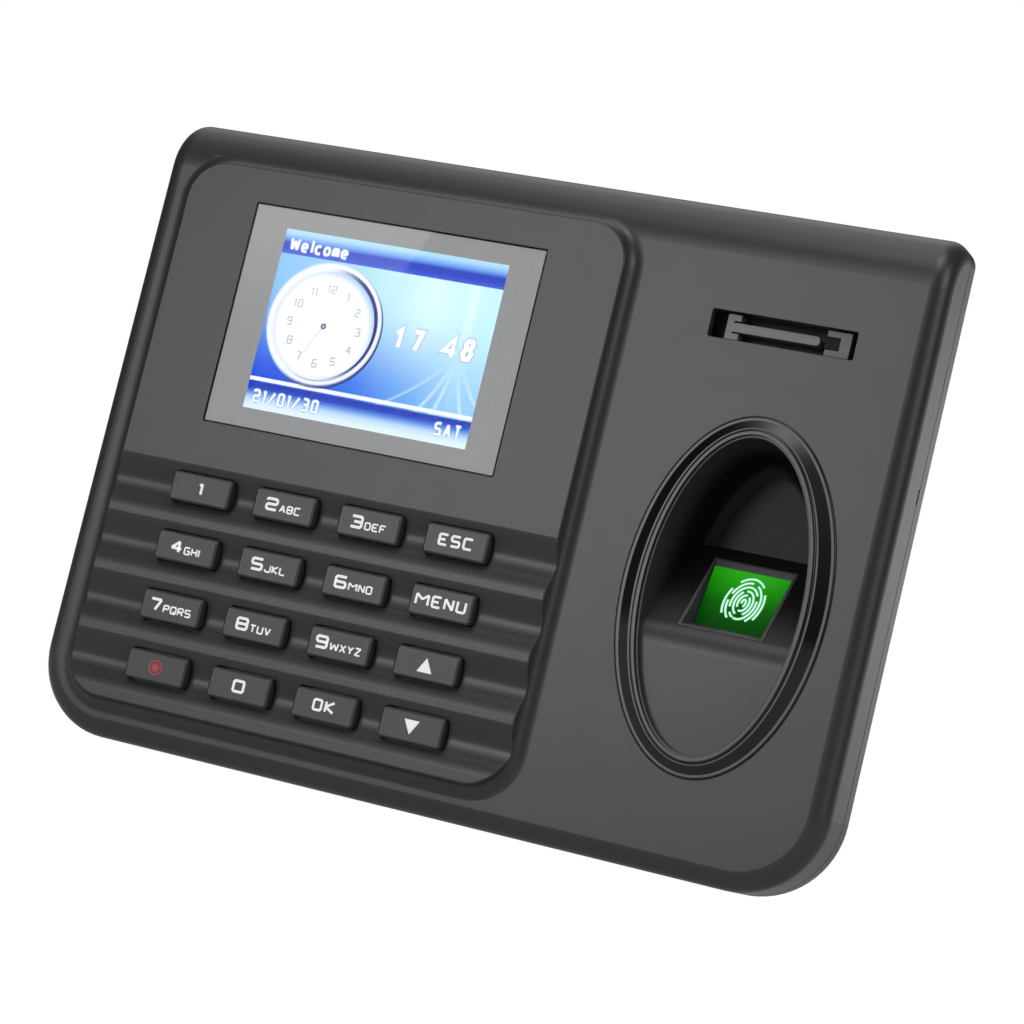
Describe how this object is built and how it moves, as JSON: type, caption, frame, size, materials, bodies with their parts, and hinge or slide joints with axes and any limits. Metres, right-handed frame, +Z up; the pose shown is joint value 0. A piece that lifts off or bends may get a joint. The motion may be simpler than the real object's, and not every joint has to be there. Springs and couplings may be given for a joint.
{
  "type": "fingerprint scanner terminal",
  "caption": "Wall-mounted fingerprint scanner terminal with a colour display, a number keypad, a status slot and an oval finger well over an optical sensor.",
  "frame": {"origin": "centre of the flat rear face, on the wall plane", "axes": "+X to the right seen from the front, +Y into the wall, +Z up; the front faces -Y"},
  "size_m": [0.1666, 0.035, 0.1282],
  "materials": {
    "case_plastic": "fine matt texture",
    "well_plastic": "matt",
    "gloss_black": "polished",
    "window_glass": "clear polished, printed grey border",
    "dark_tape": "matt",
    "lcd_glass": "clear",
    "light_sheet": "white",
    "steel_tray": "brushed",
    "flex_film": "film",
    "connector_plastic": "moulded",
    "connector_dark": "moulded",
    "silicone": "soft",
    "circuit_board": "solder mask",
    "dark_board": "dark solder mask",
    "chip_resin": "moulded",
    "can_metal": "satin",
    "cell_steel": "brushed",
    "port_steel": "satin",
    "speaker_metal": "satin",
    "sensor_glass": "polished",
    "prism_glass": "polished",
    "housing_plastic": "moulded",
    "foam_rubber": "foam",
    "screw_steel": "zinc plated",
    "led_resin": "moulded",
    "lens_barrel": "matt",
    "cable_sleeve": "soft",
    "guide_plastic": "translucent satin",
    "clip_plastic": "moulded",
    "label_film": "satin",
    "key_plastic": "satin"
  },
  "bodies": {
    "terminal": {"board_screws": "screw_steel", "capacitors": "can_metal", "case_screws": "screw_steel", "coin_cell": "cell_steel", "coin_cell_holder": "connector_dark", "dc_power_jack": "connector_dark", "display_connector": "connector_plastic", "display_window": "window_glass", "finger_well": "well_plastic", "front_cover": "case_plastic", "indicator_board": "dark_board", "indicator_cable": "cable_sleeve", "indicator_clip": "clip_plastic", "indicator_leds": "led_resin", "indicator_light_guide": "guide_plastic", "keypad_mat": "silicone", "lcd_backlight": "light_sheet", "lcd_flex_cable": "flex_film", "lcd_frame": "steel_tray", "lcd_panel": "lcd_glass", "light_sensor": "connector_dark", "main_board": "circuit_board", "memory_chip": "chip_resin", "oval_bezel": "gloss_black", "processor": "chip_resin", "rating_label": "label_film", "rear_cover": "case_plastic", "sensor_bracket": "port_steel", "sensor_cable": "cable_sleeve", "sensor_camera_board": "circuit_board", "sensor_connector": "connector_plastic", "sensor_gasket": "foam_rubber", "sensor_glass": "sensor_glass", "sensor_housing": "housing_plastic", "sensor_led_board": "circuit_board", "sensor_leds": "led_resin", "sensor_lens": "lens_barrel", "sensor_prism": "prism_glass", "sensor_screws": "screw_steel", "speaker": "speaker_metal", "usb_port": "port_steel", "well_screws": "screw_steel", "window_tape": "dark_tape"},
    "key_0_body": {"key_0": "key_plastic"},
    "key_1_body": {"key_1": "key_plastic"},
    "key_2_body": {"key_2": "key_plastic"},
    "key_3_body": {"key_3": "key_plastic"},
    "key_4_body": {"key_4": "key_plastic"},
    "key_5_body": {"key_5": "key_plastic"},
    "key_6_body": {"key_6": "key_plastic"},
    "key_7_body": {"key_7": "key_plastic"},
    "key_8_body": {"key_8": "key_plastic"},
    "key_9_body": {"key_9": "key_plastic"},
    "key_down_body": {"key_down": "key_plastic"},
    "key_esc_body": {"key_esc": "key_plastic"},
    "key_menu_body": {"key_menu": "key_plastic"},
    "key_ok_body": {"key_ok": "key_plastic"},
    "key_power_body": {"key_power": "key_plastic"},
    "key_up_body": {"key_up": "key_plastic"}
  },
  "joints": [
    {"name": "key_0_press", "type": "slide", "parent": "terminal", "child": "key_0_body", "axis": [0, 1, 0], "range_m": [0, 0.001]},
    {"name": "key_1_press", "type": "slide", "parent": "terminal", "child": "key_1_body", "axis": [0, 1, 0], "range_m": [0, 0.001]},
    {"name": "key_2_press", "type": "slide", "parent": "terminal", "child": "key_2_body", "axis": [0, 1, 0], "range_m": [0, 0.001]},
    {"name": "key_3_press", "type": "slide", "parent": "terminal", "child": "key_3_body", "axis": [0, 1, 0], "range_m": [0, 0.001]},
    {"name": "key_4_press", "type": "slide", "parent": "terminal", "child": "key_4_body", "axis": [0, 1, 0], "range_m": [0, 0.001]},
    {"name": "key_5_press", "type": "slide", "parent": "terminal", "child": "key_5_body", "axis": [0, 1, 0], "range_m": [0, 0.001]},
    {"name": "key_6_press", "type": "slide", "parent": "terminal", "child": "key_6_body", "axis": [0, 1, 0], "range_m": [0, 0.001]},
    {"name": "key_7_press", "type": "slide", "parent": "terminal", "child": "key_7_body", "axis": [0, 1, 0], "range_m": [0, 0.001]},
    {"name": "key_8_press", "type": "slide", "parent": "terminal", "child": "key_8_body", "axis": [0, 1, 0], "range_m": [0, 0.001]},
    {"name": "key_9_press", "type": "slide", "parent": "terminal", "child": "key_9_body", "axis": [0, 1, 0], "range_m": [0, 0.001]},
    {"name": "key_down_press", "type": "slide", "parent": "terminal", "child": "key_down_body", "axis": [0, 1, 0], "range_m": [0, 0.001]},
    {"name": "key_esc_press", "type": "slide", "parent": "terminal", "child": "key_esc_body", "axis": [0, 1, 0], "range_m": [0, 0.001]},
    {"name": "key_menu_press", "type": "slide", "parent": "terminal", "child": "key_menu_body", "axis": [0, 1, 0], "range_m": [0, 0.001]},
    {"name": "key_ok_press", "type": "slide", "parent": "terminal", "child": "key_ok_body", "axis": [0, 1, 0], "range_m": [0, 0.001]},
    {"name": "key_power_press", "type": "slide", "parent": "terminal", "child": "key_power_body", "axis": [0, 1, 0], "range_m": [0, 0.001]},
    {"name": "key_up_press", "type": "slide", "parent": "terminal", "child": "key_up_body", "axis": [0, 1, 0], "range_m": [0, 0.001]}
  ]
}
